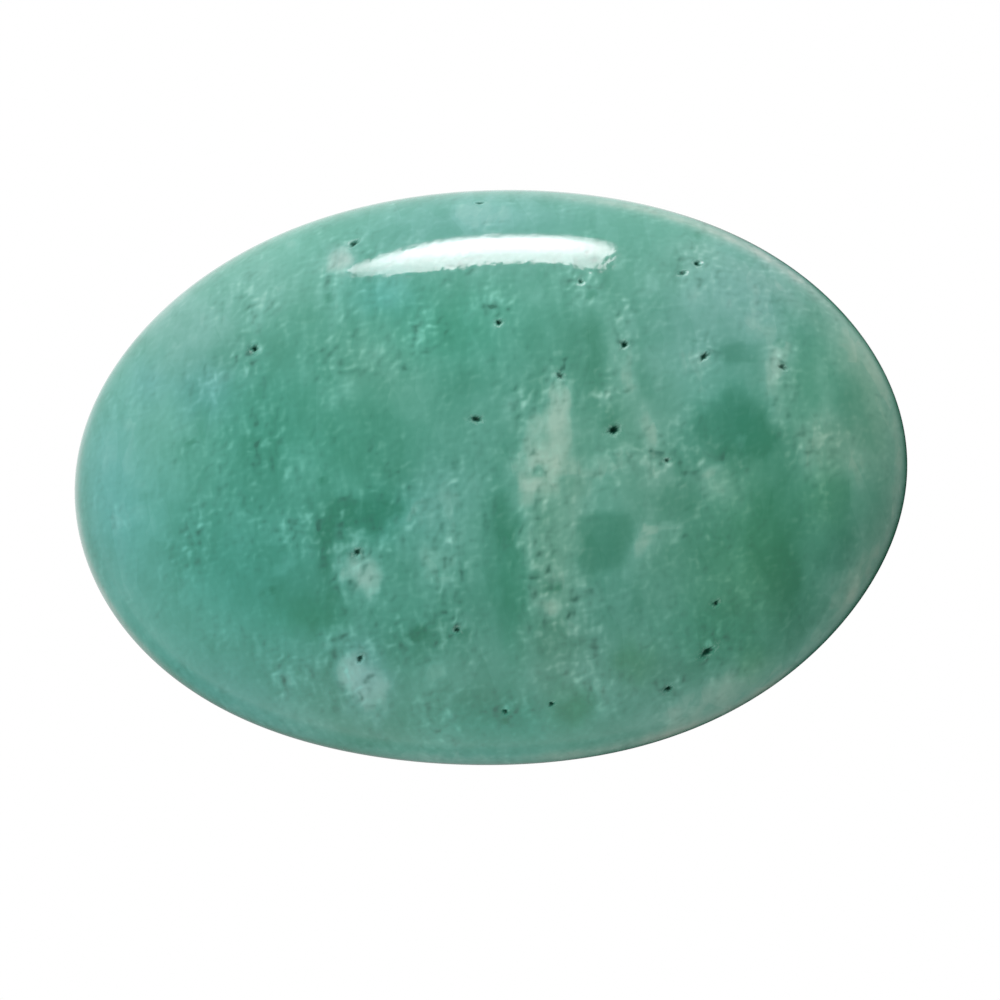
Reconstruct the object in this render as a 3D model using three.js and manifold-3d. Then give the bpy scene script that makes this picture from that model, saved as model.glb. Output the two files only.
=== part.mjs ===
// An amazonite palm stone: one polished oval pebble, domed above and below its widest line,
// with a small flat spot underneath to rest on and a scatter of natural pits in its polish.
// Millimetres. X runs along the stone, Y across it and Z up from the middle of the flat spot.
import * as THREE from "three";
import { mergeVertices } from "three/addons/utils/BufferGeometryUtils.js";
import Module from "manifold-3d";

const wasm = await Module();
wasm.setup();

// Driving dimensions
const stoneLength = 65;
const stoneWidth = 45;
const stoneThickness = 21;
const girthHeight = 10.2; // height of the widest line above the flat spot
const domeRoundness = 2.2; // 2 is an elliptical dome, and a larger number is a fuller one
const flatShare = 0.3; // the flat spot, as a share of the stone's outline

// The outline strays from a true oval by these waves: how many go round, how large each is as
// a share of the radius, and where it has its first crest.
const outlineWaves = [
  { count: 3, share: 0.0027, crestDeg: -50.8 },
  { count: 4, share: 0.0046, crestDeg: 33.6 },
  { count: 5, share: 0.0018, crestDeg: 3.5 },
  { count: 6, share: 0.0025, crestDeg: -6.3 },
];

// Hand polishing leaves the domes very slightly uneven: waves along and across the stone, in
// turns from its middle to its edge, and their size as a share of the dome's height.
const polishWaves = [
  { along: 1.1, across: 0.4, turn: 0.15, share: 0.006 },
  { along: -0.5, across: 1.3, turn: 0.6, share: 0.005 },
  { along: 1.9, across: -0.9, turn: 0.35, share: 0.003 },
];

// Pits in the upper dome, each by its place and its width.
const crownPits = [
  { along: -17.4, across: 10.8, width: 0.5 },
  { along: -9.5, across: 18.5, width: 0.55 },
  { along: 0.3, across: 21.2, width: 0.45 },
  { along: 1.2, across: 11.7, width: 0.45 },
  { along: -0.9, across: 4.5, width: 0.55 },
  { along: 10.6, across: 9.5, width: 0.5 },
  { along: 16.6, across: 15.5, width: 0.5 },
  { along: 15.4, across: 14.8, width: 0.4 },
  { along: 16.6, across: 8.3, width: 0.5 },
  { along: 9.4, across: 3.1, width: 0.75 },
  { along: 7.6, across: 14.5, width: 0.4 },
  { along: 5.6, across: 7.4, width: 0.45 },
  { along: 13.3, across: 0.6, width: 0.4 },
  { along: 22.6, across: 7.2, width: 0.45 },
  { along: -10.4, across: -5.0, width: 0.5 },
  { along: -10.7, across: -13.1, width: 0.5 },
  { along: -3.2, across: -11.3, width: 0.4 },
  { along: 12.6, across: -16.8, width: 0.5 },
  { along: 15.7, across: -14.1, width: 0.6 },
  { along: 16.5, across: -10.4, width: 0.4 },
  { along: 3.6, across: -17.4, width: 0.4 },
  { along: 0.1, across: -17.8, width: 0.4 },
];

// The lower dome has fewer, spread evenly round the flat spot.
const keelPitCount = 10;
const keelPitWidth = 0.5;
const keelPitSpan = [0.45, 0.9]; // shares of the outline that they lie between
const goldenTurn = Math.PI * (3 - Math.sqrt(5));

// How finely the surface is divided
const columns = 96;
const crownRings = 17;
const keelRings = 14;
const pitSides = 8;
const pitRings = 4;

const halfLength = stoneLength / 2;
const halfWidth = stoneWidth / 2;
const crownRise = stoneThickness - girthHeight;
const keelDrop = girthHeight / domeLevel(flatShare);

// The height of a unit dome above its rim, at a share of the way out from its middle.
function domeLevel(share) {
  return (1 - share ** domeRoundness) ** (1 / domeRoundness);
}

// The outline's radius at an angle, where 1 is the true oval.
function outlineAt(angle) {
  return outlineWaves.reduce(
    (sum, wave) => sum + wave.share * Math.cos(wave.count * (angle - THREE.MathUtils.degToRad(wave.crestDeg))),
    1,
  );
}

// The unevenness left by polishing, as a factor on the dome's height.
function polishAt(unitX, unitY) {
  return polishWaves.reduce(
    (sum, wave) =>
      sum + wave.share * Math.cos(2 * Math.PI * (wave.along * unitX + wave.across * unitY + wave.turn)),
    1,
  );
}

// A point of the unit pebble, of radius 1 with its rim at level 0, put at its place on the
// stone. The unevenness fades out towards the flat spot, which stays flat.
function toStone(unitX, unitY, level) {
  const stray = outlineAt(Math.atan2(unitY, unitX));
  const share = Math.hypot(unitX, unitY);
  const evenness = level > 0 ? 1 : THREE.MathUtils.smoothstep(share, flatShare, 1);
  const polish = 1 + (polishAt(unitX, unitY) - 1) * evenness;
  return new THREE.Vector3(
    halfLength * stray * unitX,
    halfWidth * stray * unitY,
    girthHeight + (level > 0 ? crownRise : keelDrop) * level * polish,
  );
}

// The point on the upper (side 1) or lower (side -1) dome over a place on the stone.
function domePoint(along, across, side) {
  const unitX = along / halfLength;
  const unitY = across / halfWidth;
  const stray = outlineAt(Math.atan2(unitY, unitX));
  const share = Math.hypot(unitX, unitY) / stray;
  return toStone(unitX / stray, unitY / stray, side * domeLevel(share));
}

// Half the unit pebble's profile, from the middle of the flat spot round to the top.
function unitProfile() {
  const profile = [new THREE.Vector2(0, -domeLevel(flatShare))];
  const power = 2 / domeRoundness;
  const flatAngle = Math.acos(flatShare ** (1 / power));
  for (let ring = 0; ring < keelRings; ring++) {
    const angle = flatAngle * (1 - ring / keelRings);
    profile.push(new THREE.Vector2(Math.cos(angle) ** power, -(Math.sin(angle) ** power)));
  }
  for (let ring = 0; ring < crownRings; ring++) {
    const angle = (Math.PI / 2) * (ring / crownRings);
    profile.push(new THREE.Vector2(Math.cos(angle) ** power, Math.sin(angle) ** power));
  }
  profile.push(new THREE.Vector2(0, 1));
  return profile;
}

// The whole pebble without its pits: the profile is turned round, then drawn out to the oval.
function pebble() {
  const geometry = new THREE.LatheGeometry(unitProfile(), columns);
  geometry.rotateX(Math.PI / 2);
  const position = geometry.getAttribute("position");
  for (let i = 0; i < position.count; i++) {
    const point = toStone(position.getX(i), position.getY(i), position.getZ(i));
    position.setXYZ(i, point.x, point.y, point.z);
  }
  return geometry;
}

// The shape that a pit takes out: a small round bowl, half as deep as it is wide.
function pitCutter({ along, across, width }, side) {
  const step = 0.05;
  const centre = domePoint(along, across, side);
  const alongSlope = domePoint(along + step, across, side).sub(centre);
  const acrossSlope = domePoint(along, across + step, side).sub(centre);
  const outward = alongSlope.cross(acrossSlope).multiplyScalar(side).normalize();
  const geometry = new THREE.SphereGeometry(width / 2, pitSides, pitRings);
  geometry.applyQuaternion(new THREE.Quaternion().setFromUnitVectors(THREE.Object3D.DEFAULT_UP, outward));
  return geometry.translate(centre.x, centre.y, centre.z);
}

// Where the lower dome's pits lie: a sunflower spiral from the inner share to the outer one.
function keelPits() {
  const [inner, outer] = keelPitSpan;
  return Array.from({ length: keelPitCount }, (_, i) => {
    const share = Math.sqrt(THREE.MathUtils.lerp(inner ** 2, outer ** 2, (i + 0.5) / keelPitCount));
    const angle = i * goldenTurn;
    return {
      along: halfLength * share * Math.cos(angle),
      across: halfWidth * share * Math.sin(angle),
      width: keelPitWidth,
    };
  });
}

// A closed geometry as a solid that can be cut, and a solid as a geometry again.
function solidOf(geometry) {
  geometry.deleteAttribute("normal");
  geometry.deleteAttribute("uv");
  const merged = mergeVertices(geometry, 1e-5);
  return new wasm.Manifold(
    new wasm.Mesh({
      numProp: 3,
      vertProperties: new Float32Array(merged.getAttribute("position").array),
      triVerts: new Uint32Array(merged.index.array),
    }),
  );
}

function geometryOf(solid) {
  const { vertProperties, triVerts } = solid.getMesh();
  const geometry = new THREE.BufferGeometry();
  geometry.setAttribute("position", new THREE.BufferAttribute(vertProperties, 3));
  geometry.setIndex(new THREE.BufferAttribute(triVerts, 1));
  geometry.computeVertexNormals();
  return geometry;
}

function palmStone() {
  const cutters = [
    ...crownPits.map((pit) => pitCutter(pit, 1)),
    ...keelPits().map((pit) => pitCutter(pit, -1)),
  ];
  const pitted = cutters.reduce((solid, cutter) => solid.subtract(solidOf(cutter)), solidOf(pebble()));
  const amazonite = new THREE.MeshStandardMaterial({ color: 0x5f9c8b, roughness: 0.12, metalness: 0 });
  const stone = new THREE.Mesh(geometryOf(pitted), amazonite);
  stone.name = "palm_stone";
  return stone;
}

const part = new THREE.Group();
part.add(palmStone());

export default part;
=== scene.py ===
import math

import bpy
import numpy as np
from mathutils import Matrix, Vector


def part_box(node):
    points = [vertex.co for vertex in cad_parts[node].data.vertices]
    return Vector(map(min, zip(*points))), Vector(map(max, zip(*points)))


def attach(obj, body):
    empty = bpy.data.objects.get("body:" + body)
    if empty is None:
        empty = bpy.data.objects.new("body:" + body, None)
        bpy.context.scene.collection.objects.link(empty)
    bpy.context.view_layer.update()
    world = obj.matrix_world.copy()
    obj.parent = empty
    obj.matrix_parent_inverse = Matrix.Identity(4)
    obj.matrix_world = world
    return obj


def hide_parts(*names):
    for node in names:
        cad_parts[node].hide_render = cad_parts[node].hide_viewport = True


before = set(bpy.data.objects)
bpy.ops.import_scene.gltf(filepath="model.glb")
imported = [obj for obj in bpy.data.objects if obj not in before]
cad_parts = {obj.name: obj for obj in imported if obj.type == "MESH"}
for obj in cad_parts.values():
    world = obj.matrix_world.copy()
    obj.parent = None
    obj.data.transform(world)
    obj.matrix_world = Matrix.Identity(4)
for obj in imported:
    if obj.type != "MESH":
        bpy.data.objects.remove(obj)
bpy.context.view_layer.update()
millimetre = 0.001
lowCorner, highCorner = (np.array(corner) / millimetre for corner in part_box("palm_stone"))
boxLength, boxWidth, boxHeight = highCorner - lowCorner
print("frame loaded: %.1f x %.1f x %.1f mm" % (boxLength, boxWidth, boxHeight))

# The stone's shape, in millimetres unless it says a share
stone = {
    "girthShare": 10.2 / 21,     # height of the widest line, as a share of the thickness
    "domeRoundness": 2.2,        # 2 is an elliptical dome, and a larger number is a fuller one
    "flatShare": 0.3,            # the flat spot, as a share of the outline
    # How the outline strays from a true oval: waves round it, share of the radius, first crest
    "outlineWaves": [(3, 0.0027, -50.8), (4, 0.0046, 33.6), (5, 0.0018, 3.5), (6, 0.0025, -6.3)],
    # Unevenness of the domes: turns along, turns across, phase in turns, share of the height
    "polishWaves": [(1.1, 0.4, 0.15, 0.006), (-0.5, 1.3, 0.6, 0.005), (1.9, -0.9, 0.35, 0.003)],
    "gridSteps": 220,            # quads along each side of a dome's grid
    "rimCrowding": 0.4,          # 0 spaces the rings by angle, and more sends them to the rim
    "hair": 0.01,                # a distance too small to see
}

# Pits in the polish
pits = {
    # The upper dome's: along, across, width, length over width, turn in degrees, darkness of the
    # painted shade inside
    "crown": [
        (-17.4, 10.8, 0.50, 1.2, 60, 1),
        (-9.5, 18.5, 0.55, 1.4, 60, 0.75),
        (0.3, 21.2, 0.45, 1.3, 0, 0.5),
        (1.2, 11.7, 0.45, 1.2, 90, 1),
        (-0.9, 4.5, 0.55, 1.5, 0, 0.9),
        (10.6, 9.5, 0.50, 1.1, 0, 1),
        (16.6, 15.5, 0.50, 1.3, 50, 1),
        (15.4, 14.8, 0.40, 1.8, 30, 0.6),
        (16.6, 8.3, 0.50, 1.7, 45, 0.95),
        (9.4, 3.1, 0.75, 1.1, 20, 1),
        (7.6, 14.5, 0.40, 1.1, 0, 0.7),
        (5.6, 7.4, 0.45, 1.6, -30, 0.6),
        (13.3, 0.6, 0.40, 1.2, 45, 0.7),
        (22.6, 7.2, 0.45, 1.5, -20, 0.65),
        (-10.4, -5.0, 0.50, 1.5, 45, 0.85),
        (-10.7, -13.1, 0.50, 1.5, 40, 0.85),
        (-3.2, -11.3, 0.40, 1.2, 70, 0.85),
        (12.6, -16.8, 0.50, 1.2, -20, 1),
        (15.7, -14.1, 0.60, 2.2, 40, 0.9),
        (16.5, -10.4, 0.40, 1.3, 60, 0.95),
        (3.6, -17.4, 0.40, 1.2, -40, 0.9),
        (0.1, -17.8, 0.40, 1.4, -50, 0.8),
    ],
    "keelCount": 10,             # pits of the lower dome
    "keelSpan": (0.45, 0.9),     # shares of the outline that they lie between
    "keelShape": (0.5, 1.3),     # their width, and length over width
    "keelTurn": 40,              # how far each is turned from the one before
    "keelDarkness": 0.9,
    "depthShare": 0.5,           # depth as a share of the width
    # the dark inside a pit is painted shade
    "darkEdge": (0.94, 0.6),     # where the dark starts and is full, in pit radii
    "pull": 0.75,                # how strongly the grid's lines gather at a pit, up to 1
    "pullReach": 1.3,
    "calmRim": 0.06,             # how close to the rim they stop gathering, as a share
    "raggedness": 0.22,          # how far a pit's edge strays from its oval
    "raggedWaves": (2, 3, 5),    # how many waves of it go round
    "lipReach": 2.4,             # the worn rim round a pit, in pit radii
    "lipDepth": 0.01,
    "seed": 7,
}

roundness = stone["domeRoundness"]
goldenTurn = math.pi * (3 - math.sqrt(5))


# The outline's radius at an angle, where 1 is the true oval: one plus a sum of cosine waves.
def outlineAt(angle):
    radius = np.ones_like(angle)
    for count, share, crest in stone["outlineWaves"]:
        radius += share * np.cos(count * (angle - math.radians(crest)))
    return radius


# The dome's unevenness at a place of the unit disc, as a factor on its height.
def polishAt(unitX, unitY):
    factor = np.ones_like(unitX)
    for along, across, turn, share in stone["polishWaves"]:
        factor += share * np.cos(2 * math.pi * (along * unitX + across * unitY + turn))
    return factor


# The height of a unit dome above its rim at a share of the way out: a superellipse's quarter.
def domeLevel(share):
    return (1 - np.clip(share, 0, 1) ** roundness) ** (1 / roundness)


def smoothStep(low, high, value):
    t = np.clip((value - low) / (high - low), 0, 1)
    return t * t * (3 - 2 * t)


ends = outlineAt(np.array([0, math.pi]))
sides = outlineAt(np.array([math.pi / 2, -math.pi / 2]))
halfLength = boxLength / ends.sum()
halfWidth = boxWidth / sides.sum()
girthHeight = stone["girthShare"] * boxHeight
crownRise = boxHeight - girthHeight
keelDrop = girthHeight / domeLevel(np.array(stone["flatShare"]))


# The skin over a place on the plan, on the upper (side 1) or the lower (side -1) dome: the
# place's share of the way to the outline gives the unit dome's level, which is scaled to the
# rise or the drop and to the unevenness. The lower dome is cut off level at the flat spot.
def skinHeight(x, y, side):
    unitX, unitY = x / halfLength, y / halfWidth
    stray = outlineAt(np.arctan2(unitY, unitX))
    unitX, unitY = unitX / stray, unitY / stray
    share = np.hypot(unitX, unitY)
    level = domeLevel(share)
    if side > 0:
        return girthHeight + crownRise * level * polishAt(unitX, unitY)
    evenness = smoothStep(stone["flatShare"], 1, share)
    polish = 1 + (polishAt(unitX, unitY) - 1) * evenness
    return np.maximum(girthHeight - keelDrop * level * polish, 0)


# The plan of one dome's grid: a square grid is bent to a disc, its rings are spread by the
# angle on the dome's profile, and the disc is drawn out to the outline.
def planGrid():
    line = np.linspace(-1, 1, stone["gridSteps"] + 1)
    u, v = np.meshgrid(line, line, indexing="ij")
    discX = u * np.sqrt(1 - v**2 / 2)
    discY = v * np.sqrt(1 - u**2 / 2)
    out = np.minimum(np.hypot(discX, discY), 1)
    turn = np.arctan2(discY, discX)
    crowding = stone["rimCrowding"]
    angle = math.pi / 2 * (out - crowding * np.sin(math.pi * out) / math.pi)
    share = np.sin(angle) ** (2 / roundness) * outlineAt(turn)
    return halfLength * share * np.cos(turn), halfWidth * share * np.sin(turn), out


# Where the lower dome's pits lie: a sunflower spiral from the inner share to the outer one.
def keelPits():
    inner, outer = pits["keelSpan"]
    order = np.arange(pits["keelCount"])
    share = np.sqrt(inner**2 + (outer**2 - inner**2) * (order + 0.5) / pits["keelCount"])
    x = halfLength * share * np.cos(order * goldenTurn)
    y = halfWidth * share * np.sin(order * goldenTurn)
    width, stretch = pits["keelShape"]
    dark = pits["keelDarkness"]
    places = zip(x, y, pits["keelTurn"] * order)
    return [(along, across, width, stretch, turn, dark) for along, across, turn in places]


# One dome of the stone as a grid of points, with how much of a pit and of its worn rim each
# point has. The plan's lines gather at the pits, and each pit sinks the skin along its normal
# by a bowl: the depth times the square of one less the square of the distance in pit radii.
def domeGrid(side, pitList, random):
    x, y, out = planGrid()
    rimEase = smoothStep(0, pits["calmRim"], 1 - out)
    for along, across, *_ in pitList:
        offX, offY = x - along, y - across
        near = np.exp(-(offX**2 + offY**2) / pits["pullReach"] ** 2)
        gather = pits["pull"] * near * rimEase
        x, y = x - offX * gather, y - offY * gather
    z = skinHeight(x, y, side)
    z = np.where(out >= 1 - 1e-9, girthHeight, z)
    points = np.stack([x, y, z], -1)
    normal = np.cross(np.gradient(points, axis=0), np.gradient(points, axis=1)) * side
    normal /= np.linalg.norm(normal, axis=-1, keepdims=True)
    bowl = np.zeros_like(x)
    worn = np.zeros_like(x)
    sink = np.zeros_like(x)
    for along, across, width, stretch, turn, darkness in pitList:
        height = skinHeight(np.array([along]), np.array([across]), side)[0]
        off = points - np.array([along, across, height])
        cosTurn, sinTurn = math.cos(math.radians(turn)), math.sin(math.radians(turn))
        distanceAlong = (off[..., 0] * cosTurn + off[..., 1] * sinTurn) / stretch
        distanceAcross = off[..., 1] * cosTurn - off[..., 0] * sinTurn
        distance = np.sqrt(distanceAlong**2 + distanceAcross**2 + off[..., 2] ** 2)
        bearing = np.arctan2(distanceAcross, distanceAlong)
        edge = np.ones_like(x)
        for waves in pits["raggedWaves"]:
            phase = random.uniform(0, 2 * math.pi)
            edge += pits["raggedness"] / waves * np.cos(waves * bearing + phase)
        radii = distance / (width / 2 * edge)
        depth = pits["depthShare"] * width * np.clip(1 - radii**2, 0, 1) ** 2
        wornRim = np.clip(1 - (radii / pits["lipReach"]) ** 2, 0, 1) ** 2
        sink = np.maximum(sink, depth + pits["lipDepth"] * wornRim)
        # how much of the pit's painted shade each point takes
        bowl = np.maximum(bowl, darkness * smoothStep(*pits["darkEdge"], radii))
        worn = np.maximum(worn, wornRim)
    return points - normal * sink[..., None], bowl, worn


# Joins the two domes into one closed skin. They share the points of the rim, and the lower
# dome's quads are wound the other way so that they face down.
def palmStone():
    random = np.random.default_rng(pits["seed"])
    steps = stone["gridSteps"]
    upper, upperBowl, upperWorn = domeGrid(1, pits["crown"], random)
    lower, lowerBowl, lowerWorn = domeGrid(-1, keelPits(), random)
    inner = np.zeros((steps + 1, steps + 1), bool)
    inner[1:-1, 1:-1] = True
    upperIndex = np.arange((steps + 1) ** 2).reshape(steps + 1, steps + 1)
    lowerIndex = upperIndex.copy()
    lowerIndex[inner] = upperIndex.size + np.arange(inner.sum())
    points = np.concatenate([upper.reshape(-1, 3), lower[inner]])
    bowl = np.concatenate([upperBowl.ravel(), lowerBowl[inner]])
    worn = np.concatenate([upperWorn.ravel(), lowerWorn[inner]])
    quads = []
    for index, outward in ((upperIndex, 1), (lowerIndex, -1)):
        corners = [index[:-1, :-1], index[1:, :-1], index[1:, 1:], index[:-1, 1:]]
        quads.append(np.stack([corner.ravel() for corner in corners[::outward]], -1))
    quads = np.concatenate(quads)
    mesh = bpy.data.meshes.new("palmStoneSkin")
    mesh.vertices.add(len(points))
    mesh.vertices.foreach_set("co", (points * millimetre).ravel())
    mesh.loops.add(quads.size)
    mesh.loops.foreach_set("vertex_index", quads.ravel())
    mesh.polygons.add(len(quads))
    mesh.polygons.foreach_set("loop_start", np.arange(0, quads.size, 4))
    mesh.polygons.foreach_set("use_smooth", np.ones(len(quads), bool))
    mesh.update(calc_edges=True)
    mesh.validate()
    fields = {"bowl": bowl, "worn": worn, **mineralFields(points)}
    for name, values in fields.items():
        layer = mesh.attributes.new(name, "FLOAT", "POINT")
        layer.data.foreach_set("value", values.astype(np.float32))
    piece = bpy.data.objects.new("palmStoneSkin", mesh)
    bpy.context.scene.collection.objects.link(piece)
    print("stone: %d points, %d quads" % (len(points), len(quads)))
    return piece
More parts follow.
